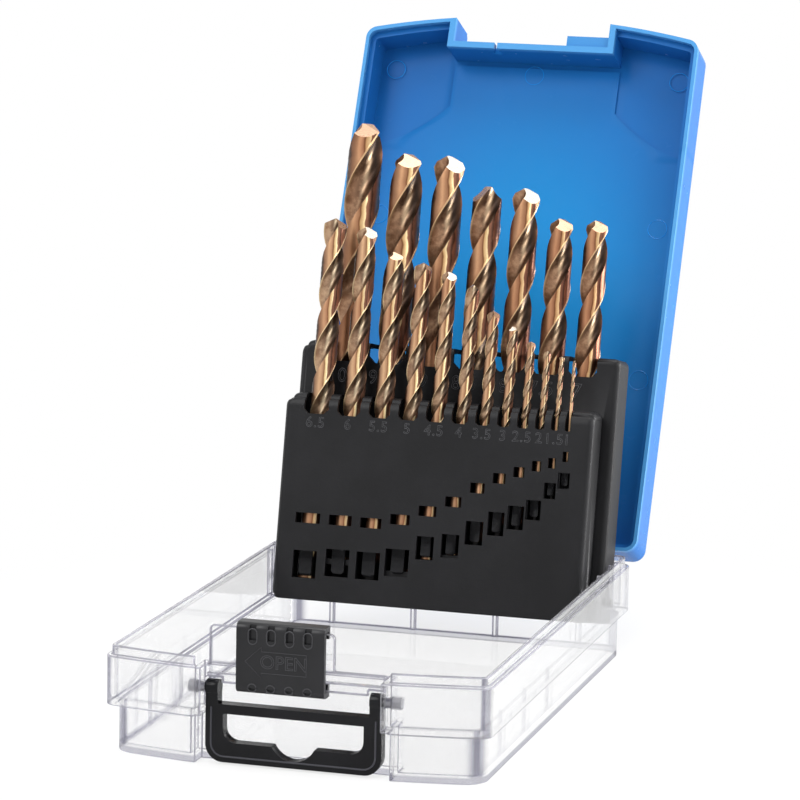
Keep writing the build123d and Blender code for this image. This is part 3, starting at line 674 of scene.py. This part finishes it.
def floor_material():
    """A pale floor that keeps the shadow under the case and turns white further out."""
    material, tree, shader = new_material("pale_floor")
    set_inputs(tree, shader, {
        "Base Color": (0.88, 0.88, 0.88, 1), "Roughness": 0.9, "Specular IOR Level": 0.0})
    light = add_node(tree, "ShaderNodeEmission", Color=WHITE, Strength=1.0).outputs[0]
    far = length_of(tree, place_on(tree, (0, 0.01, 0), (0, 0, 0), (1.0, 0.8, 0.0)))
    share = product(tree, seen_directly(tree), span(tree, far, 0.04, 0.17, 0.70, 1.0))
    set_output(tree, "Surface", mix_shaders(tree, share, shader.outputs[0], light))
    return material


# -------------------- operators

class CASE_OT_stage(bpy.types.Operator):
    """Floor, world, lamps and camera"""
    bl_idname = "bit_case.stage"
    bl_label = "Stage"

    def execute(self, context):
        settings = context.scene.case_stage
        deselect()
        bpy.ops.mesh.primitive_plane_add(size=settings.floor_size, location=(0, 0, 0))
        floor = context.object
        floor.name = "pale_floor"
        floor.data.materials.append(floor_material())
        self.light_world(context, settings)
        for name, (place, size, power) in LAMPS.items():
            self.add_lamp(name, place, size, getattr(settings, power))
        self.add_camera(context, settings)
        context.scene.view_settings.view_transform = "Standard"
        return {"FINISHED"}

    def light_world(self, context, settings):
        """Soft light from all round, with a white background."""
        world = bpy.data.worlds.new("soft_white")
        context.scene.world = world
        world.use_nodes = True
        tree = world.node_tree
        tree.nodes.clear()
        output = tree.nodes.new("ShaderNodeOutputWorld")
        light, white = (add_node(tree, "ShaderNodeBackground", Color=WHITE, Strength=strength).outputs[0]
                        for strength in (settings.world_strength, 1.0))
        tree.links.new(mix_shaders(tree, seen_directly(tree), light, white), output.inputs["Surface"])

    def add_lamp(self, name, place, size, power):
        """A round lamp aimed at the case."""
        bpy.ops.object.light_add(type="AREA", location=place)
        lamp = bpy.context.object
        lamp.name = name
        lamp.data.shape = "DISK"
        lamp.data.size = size
        lamp.data.energy = power
        aim = LAMP_TARGET - Vector(place)
        lamp.rotation_euler = aim.to_track_quat("-Z", "Y").to_euler()

    def add_camera(self, context, settings):
        """The camera, rolled about its own line of sight."""
        place = Vector(settings.camera_place)
        bpy.ops.object.camera_add(location=place)
        camera = context.object
        camera.name = "camera"
        aim = (Vector(settings.camera_target) - place).to_track_quat("-Z", "Y").to_matrix()
        turned = aim @ Matrix.Rotation(settings.camera_roll, 3, "Z")
        camera.rotation_euler = turned.to_euler()
        camera.data.sensor_width = 36
        camera.data.lens = settings.camera_lens
        camera.data.clip_start = 0.05
        camera.data.clip_end = 50
        context.scene.camera = camera


class CASE_OT_shells(bpy.types.Operator):
    """Finishes of the tray, the lid, the racks, the latch and the handle"""
    bl_idname = "bit_case.shells"
    bl_label = "Tray, lid, racks, latch and handle"

    def execute(self, context):
        settings = context.scene.case_plastic
        clear = clear_plastic(settings)
        blue = blue_plastic(settings)
        rack = black_plastic("rack_black", settings.rack_black)
        latch = black_plastic("latch_black", settings.fitting_black)
        handle = black_plastic("handle_black", settings.rack_black,
                               (PIN_REACH, settings.pin_grey))
        finishes = {"base_tray": clear, "lid": blue, "latch_slider": latch, "handle": handle}
        for node, material in finishes.items():
            piece = frame["nodes"][node]
            piece.data.materials.clear()
            piece.data.materials.append(material)
        frame["nodes"]["base_tray"].data.materials.append(clear_edge(settings))
        self.soften_edges(frame["nodes"]["base_tray"], TRAY_EDGE, 1)
        for node in ("latch_slider", "handle"):
            self.soften_edges(frame["nodes"][node], FITTING_EDGE, 0)
        for node in ("front_rack", "rear_rack"):
            self.mould_rack(node, rack, rack_matrix(context.scene.case_bits.rack_lean))
        return {"FINISHED"}

    def soften_edges(self, piece, width, slot):
        """Small rounded edges in a material slot; those in a slot of their own keep their full width."""
        same_slot = slot == 0
        weld = piece.modifiers.new("weld", "WELD")
        weld.merge_threshold = 0.00001
        bevel = piece.modifiers.new("soft_edges", "BEVEL")
        bevel.width = width
        bevel.segments = 2
        bevel.material = slot
        bevel.use_clamp_overlap = same_slot
        bevel.loop_slide = same_slot
        bevel.limit_method = "ANGLE"
        bevel.angle_limit = radians(35)

    def mould_rack(self, node, material, stand):
        """A copy of a rack with the full roundings of its top edge and its left corners."""
        pick(frame["nodes"][node])
        bpy.ops.object.duplicate()
        rack = bpy.context.object
        rack.data.transform(stand.inverted())
        xs, ys, zs = ([v.co[i] for v in rack.data.vertices] for i in range(3))
        body = [x for x, z in zip(xs, zs) if z > 0.5 * max(zs)]
        left, front, top, bottom = min(body), min(ys), max(zs), min(zs)
        bpy.ops.object.mode_set(mode="EDIT")
        bpy.ops.mesh.select_all(action="SELECT")
        bpy.ops.mesh.remove_doubles(threshold=0.00001)
        for step in range(1, ROUND_STEPS + 1):
            reach = ROUND_R * step / ROUND_STEPS
            for place, normal in (((left + reach, 0, 0), (1, 0, 0)), ((0, front + reach, 0), (0, 1, 0)),
                                  ((0, 0, top - reach), (0, 0, 1)), ((0, 0, bottom + reach), (0, 0, 1))):
                bpy.ops.mesh.select_all(action="SELECT")
                bpy.ops.mesh.bisect(plane_co=place, plane_no=normal)
        bpy.ops.object.mode_set(mode="OBJECT")
        for vertex in rack.data.vertices:
            x, y, z = vertex.co
            x, z = self.rounded(x - left, top - z, ROUND_R)
            y, z = self.rounded(y - front, z, ROUND_R)
            x, z = self.rounded(x, top - bottom - z, FOOT_ROUND_R)
            vertex.co = Vector((left + x, front + y, bottom + z))
        rack.data.transform(stand)
        smooth(rack, radians(30))
        dress(rack, node + "_moulded", material, "rack", "rack_black", node)

    def rounded(self, first, second, radius):
        """Draws a point near a square edge in to the rounding: distances from the two faces."""
        u, v = radius - first, radius - second
        if u <= 0 or v <= 0 or first < 0:
            return first, second
        share = max(u, v) / hypot(u, v)
        return radius - u * share, radius - v * share


class CASE_OT_bits(bpy.types.Operator):
    """The nineteen drill bits with their flutes and points"""
    bl_idname = "bit_case.bits"
    bl_label = "Drill bits"

    def execute(self, context):
        settings = context.scene.case_bits
        metal = bit_metal(settings)
        bright = ground_metal("ground_point", settings.point_colour)
        dull = ground_metal("dull_point", settings.dull_colour)
        stand = rack_matrix(settings.rack_lean)
        for node, flute in FLUTE_LENGTHS.items():
            corners = [stand.inverted() @ v.co for v in frame["nodes"][node].data.vertices]
            low = Vector([min(c[i] for c in corners) for i in range(3)])
            high = Vector([max(c[i] for c in corners) for i in range(3)])
            radius = (high.x - low.x) / 2
            lip = radians(LIP_TURNS[node]) + VIEW_TURN
            bit = self.shape_bit(radius, high.z - low.z, flute * MM, settings, lip)
            bit.data.materials[0] = metal
            # Painted highlight on the points of the highlit bits
            bit.data.materials[1] = bright if node in HIGHLIT_POINTS else dull
            foot = Matrix.Translation(((low.x + high.x) / 2, high.y - radius, low.z))
            settle(bit, stand @ foot)
            dress(bit, node + "_ground", None, node, "bit_metal", node)
        return {"FINISHED"}

    def section(self, radius):
        """Half the fluted section from one lip back to the other, as (x, y, land, edge, flute)."""
        points = []
        for angles, r, edge in ((MARGIN_ANGLES, radius, 1.0), (LAND_ANGLES, LAND_CLEARANCE * radius, 0.0)):
            for angle in angles:
                points.append((r * cos(radians(angle)), -r * sin(radians(angle)), 1.0, edge, 0.0))
        for step in range(FLUTE_POINTS):
            t = step / FLUTE_POINTS
            weights = [(1 - t) ** 3, 3 * t * (1 - t) ** 2, 3 * t * t * (1 - t), t ** 3]
            x = sum(w * p[0] for w, p in zip(weights, FLUTE_CURVE))
            y = sum(w * p[1] for w, p in zip(weights, FLUTE_CURVE))
            points.append((radius * x, radius * y, 0.0, 0.0, t))
        return points

    def shape_bit(self, radius, length, flute_length, settings, lip):
        """One bit standing on its shank at the origin, its right-hand lip turned to an angle."""
        half = self.section(radius)
        ring = half + [(-x, -y, *rest) for x, y, *rest in half]
        count = len(ring)
        pitch = 2 * pi * radius / tan(settings.helix_angle)
        run = flute_length + 2.0 * radius
        base = length - flute_length
        turns = run / pitch
        deselect()
        bpy.ops.mesh.primitive_circle_add(vertices=count, radius=radius)
        bit = bpy.context.object
        bit.data.materials.append(None)
        bit.data.materials.append(None)
        start = Matrix.Rotation(-2 * pi * flute_length / pitch + lip, 4, "Z")
        for vertex, point in zip(bit.data.vertices, ring):
            vertex.co = start @ Vector((point[0], point[1], base))
        screw = bit.modifiers.new("flutes", "SCREW")
        screw.angle = 2 * pi * turns
        screw.screw_offset = run
        screw.steps = screw.render_steps = max(12, round(FLUTE_STEPS * turns))
        screw.use_smooth_shade = True
        apply_modifiers(bit)
        self.paint(bit.data, ring, radius, base)
        self.add_shank(bit, base, radius)
        self.cut_point(bit, length, settings, Matrix.Rotation(lip, 3, "Z"))
        smooth(bit, radians(25))
        return bit

    def paint(self, mesh, ring, radius, base):
        """Stores the finish of each point of the flutes, and fades them out into the shank."""
        finish = mesh.color_attributes.new("finish", "FLOAT_COLOR", "POINT")
        around = mesh.color_attributes.new("around", "FLOAT_COLOR", "POINT")
        fade = 1.7 * radius
        for vertex in mesh.vertices:
            _, _, land, edge, flute = ring[vertex.index % len(ring)]
            share = min(1.0, max(0.0, (vertex.co.z - base) / fade))
            share = share * share * (3 - 2 * share)
            finish.data[vertex.index].color = (land * share + 1 - share, edge * share, flute * share, 1.0)
            reach = hypot(vertex.co.x, vertex.co.y)
            grow = (radius - (radius - reach) * share) / reach
            vertex.co.x *= grow
            vertex.co.y *= grow
            # Place across the bit as the viewer sees it, which picks the painted bands of reflected light
            # and shade
            side = (vertex.co.x * cos(VIEW_TURN) + vertex.co.y * sin(VIEW_TURN)) / radius
            # The small bits are painted paler, as painted light
            pale = 1.0 if radius < PALE_BELOW else 0.0
            around.data[vertex.index].color = (0.5 + 0.5 * side, pale, 1.0, 1.0)

    def add_shank(self, bit, base, radius):
        """Draws the lower rim down to the shank's end, with a small chamfer."""
        select_in_edit(bit, "VERT", "vertices", lambda vertex: abs(vertex.co.z - base) < 1e-6)
        bpy.ops.mesh.select_mode(type="EDGE")
        chamfer = 0.08 * radius
        heights = [base, DARK_TOP, DARK_TOP - 1.5 * MM, FOOT_TOP, chamfer, 0.0]
        for upper, lower in zip(heights, heights[1:]):
            bpy.ops.mesh.extrude_region_move(TRANSFORM_OT_translate={"value": (0, 0, lower - upper)})
        share = 1 - chamfer / radius
        bpy.ops.transform.resize(value=(share, share, 1), center_override=(0, 0, 0))
        bpy.ops.mesh.edge_face_add()
        bpy.ops.object.mode_set(mode="OBJECT")
        # Painted shade on the shank inside its pocket, in the third channel of around
        around = bit.data.color_attributes["around"]
        for vertex in bit.data.vertices:
            if FOOT_TOP - 1e-6 < vertex.co.z < DARK_TOP - 1 * MM:
                around.data[vertex.index].color[2] = 0.0

    def cut_point(self, bit, length, settings, turn):
        """Grinds the point: behind each lip a narrow facet, then a steep one down to the heel."""
        slope = 1 / tan(settings.point_angle / 2)
        relief = tan(settings.relief_angle)
        heel = tan(settings.heel_angle)
        rise = (heel - relief) * CHISEL_HALF * bit.dimensions.x / 2
        pick(bit)
        bpy.ops.object.mode_set(mode="EDIT")
        for fall, top in ((relief, length), (heel, length + rise)):
            for side in (1, -1):
                normal = turn @ Vector((side * slope, -side * fall, 1))
                bpy.ops.mesh.select_all(action="SELECT")
                bpy.ops.mesh.bisect(plane_co=(0, 0, top), plane_no=normal,
                                    use_fill=True, clear_outer=True)
        bpy.ops.mesh.select_all(action="SELECT")
        bpy.ops.mesh.normals_make_consistent(inside=False)
        bpy.ops.object.mode_set(mode="OBJECT")
        for face in bit.data.polygons:
            ground = face.normal.z > 0.5 and face.center.z > length - bit.dimensions.x
            face.material_index = 1 if ground else 0


class CASE_OT_marks(bpy.types.Operator):
    """Raised sizes on the racks, and the arrow and word on the latch"""
    bl_idname = "bit_case.marks"
    bl_label = "Size marks and latch arrow"

    def execute(self, context):
        stand = rack_matrix(context.scene.case_bits.rack_lean)
        mark_sheen = worn_marks(context.scene.case_plastic)
        for row, node, height, up in MARK_ROWS:
            face = min((stand.inverted() @ v.co).y for v in frame["nodes"][node].data.vertices)
            for size in row:
                low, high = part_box("bit_" + size)
                words = size.replace("_0", "").replace("_", ".")
                place = Vector(((low.x + high.x) / 2, face + LINE_SHIFT, up * MM))
                mark = self.outline_text(words, height * MM, MARK_LINE)
                settle(mark, stand @ Matrix.Translation(place) @ UPRIGHT)
                dress(mark, "mark_" + size, mark_sheen, "rack", "rack_black")
        self.mark_latch()
        self.bead_handle(bpy.data.materials["handle_black"])
        self.ring_lid(bpy.data.materials["blue_plastic"])
        return {"FINISHED"}

    def mark_latch(self):
        """The arrow with its word, and the outlines of the eight grips."""
        low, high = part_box("latch_slider")
        face = low.y - LINE_SHIFT
        black = bpy.data.materials["latch_black"]
        tip, neck, end = -12.2 * MM, -8.0 * MM, 3.6 * MM
        middle, head, body = 27.2 * MM, 3.9 * MM, 2.7 * MM
        arrow = [(tip, 0), (neck, head), (neck, body), (end, body),
                 (end, -body), (neck, -body), (neck, -head)]
        outline = self.outline_loop(arrow, ARROW_LINE)
        settle(outline, Matrix.Translation((0, face, middle)) @ UPRIGHT)
        dress(outline, "latch_arrow", black, "latch", "latch_black")
        word = self.outline_text("OPEN", 3.3 * MM, WORD_LINE, 1.0)
        settle(word, Matrix.Translation(((neck + end) / 2, face, middle)) @ UPRIGHT)
        dress(word, "latch_word", black, "latch", "latch_black")
        centre = (low.x + high.x) / 2
        for row, (bottom, top) in enumerate(((high.z - 5.3 * MM, high.z - 1.3 * MM),
                                             (low.z + 0.6 * MM, low.z + 2.6 * MM))):
            for index in range(4):
                x = centre + (index - 1.5) * 4.75 * MM
                pill = self.outline_loop(self.pill(1.15 * MM, top - bottom), GRIP_LINE)
                settle(pill, Matrix.Translation((x, face, bottom)) @ UPRIGHT)
                dress(pill, f"latch_grip_{row}_{index}", black, "latch", "latch_black")

    def bead_handle(self, black):
        """The raised bead inside the handle's outer edge."""
        low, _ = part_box("handle")
        half, inset, corner = 22.8 * MM, 1.5 * MM, 3.2 * MM
        side = half - inset
        points = [(-side, 12.5 * MM)]
        for start, x in ((180, -side + corner), (270, side - corner)):
            for step in range(7):
                a = radians(start + 15 * step)
                points.append((x + corner * cos(a), corner + corner * sin(a)))
        points.append((side, 12.5 * MM))
        bead = self.outline_loop(points, BEAD_LINE, closed=False)
        settle(bead, Matrix.Translation((0, low.y + BEAD_SHIFT, low.z + inset)) @ UPRIGHT)
        dress(bead, "handle_bead", black, "handle", "handle_black")

    def ring_lid(self, blue):
        """The thin round marks that the mould's pins leave inside the lid."""
        hinge = joint_place("lid_hinge")
        turns = [2 * pi * k / 40 for k in range(40)]
        circle = [(LID_RING_R * cos(a), LID_RING_R * sin(a)) for a in turns]
        for index, (x, reach) in enumerate(LID_RINGS):
            ring = self.outline_loop(circle, RING_LINE)
            settle(ring, lid_matrix() @ Matrix.Translation((x * MM, hinge.y - reach * MM, LID_CEILING)))
            dress(ring, f"lid_ring_{index}", blue, "lid", "blue_plastic")

    def pill(self, radius, height):
        """The outline of an upright slot with round ends, standing on the origin."""
        points = []
        for start, z in ((180, radius), (0, height - radius)):
            for step in range(9):
                a = radians(start + 22.5 * step)
                points.append((radius * cos(a), z + radius * sin(a)))
        return points

    def outline_loop(self, points, thickness, closed=True):
        """A raised line through flat points."""
        deselect()
        bpy.ops.mesh.primitive_circle_add(vertices=len(points))
        line = bpy.context.object
        for vertex, point in zip(line.data.vertices, points):
            vertex.co = (*point, 0)
        if not closed:
            last = {0, len(points) - 1}
            select_in_edit(line, "EDGE", "edges", lambda edge: set(edge.vertices) == last)
            bpy.ops.mesh.delete(type="EDGE")
            bpy.ops.object.mode_set(mode="OBJECT")
        bpy.ops.object.convert(target="CURVE")
        line.data.bevel_depth = thickness
        line.data.bevel_resolution = 2
        line.data.use_fill_caps = True
        bpy.ops.object.convert(target="MESH")
        return bpy.context.object

    def outline_text(self, words, height, thickness, spacing=1.12):
        """The outlines of a short text as raised lines, centred on the origin."""
        deselect()
        bpy.ops.object.text_add()
        text = bpy.context.object
        text.data.body = words
        text.data.size = height / 0.7
        text.data.space_character = spacing
        text.data.align_x = "CENTER"
        text.data.align_y = "CENTER"
        text.data.fill_mode = "NONE"
        text.data.bevel_depth = thickness
        text.data.bevel_resolution = 1
        text.data.resolution_u = 4
        bpy.ops.object.convert(target="MESH")
        return bpy.context.object


class CASE_PT_panel(bpy.types.Panel):
    """Sizes and colours of the case"""
    bl_idname = "CASE_PT_panel"
    bl_label = "Drill bit case"
    bl_space_type = "VIEW_3D"
    bl_region_type = "UI"
    bl_category = "Bit case"

    def draw(self, context):
        layout = self.layout
        for group in ("case_stage", "case_plastic", "case_bits"):
            box = layout.box()
            settings = getattr(context.scene, group)
            for name in settings.bl_rna.properties.keys():
                if name not in ("rna_type", "name"):
                    box.prop(settings, name)
        for operator in OPERATORS:
            layout.operator(operator.bl_idname)


SETTINGS = {
    "case_stage": CaseStageSettings,
    "case_plastic": CasePlasticSettings,
    "case_bits": CaseBitSettings,
}
OPERATORS = (CASE_OT_stage, CASE_OT_shells, CASE_OT_bits, CASE_OT_marks)


def register():
    """Registers the classes and hangs the settings on the scene."""
    for name, group in SETTINGS.items():
        bpy.utils.register_class(group)
        setattr(bpy.types.Scene, name, bpy.props.PointerProperty(type=group))
    for operator in OPERATORS:
        bpy.utils.register_class(operator)
    bpy.utils.register_class(CASE_PT_panel)


def unregister():
    """Takes the classes and the settings away."""
    bpy.utils.unregister_class(CASE_PT_panel)
    for operator in reversed(OPERATORS):
        bpy.utils.unregister_class(operator)
    for name, group in SETTINGS.items():
        delattr(bpy.types.Scene, name)
        bpy.utils.unregister_class(group)


def main():
    register()
    bpy.ops.bit_case.stage()
    bpy.ops.bit_case.shells()
    bpy.ops.bit_case.bits()
    bpy.ops.bit_case.marks()


if __name__ == "__main__":
    main()
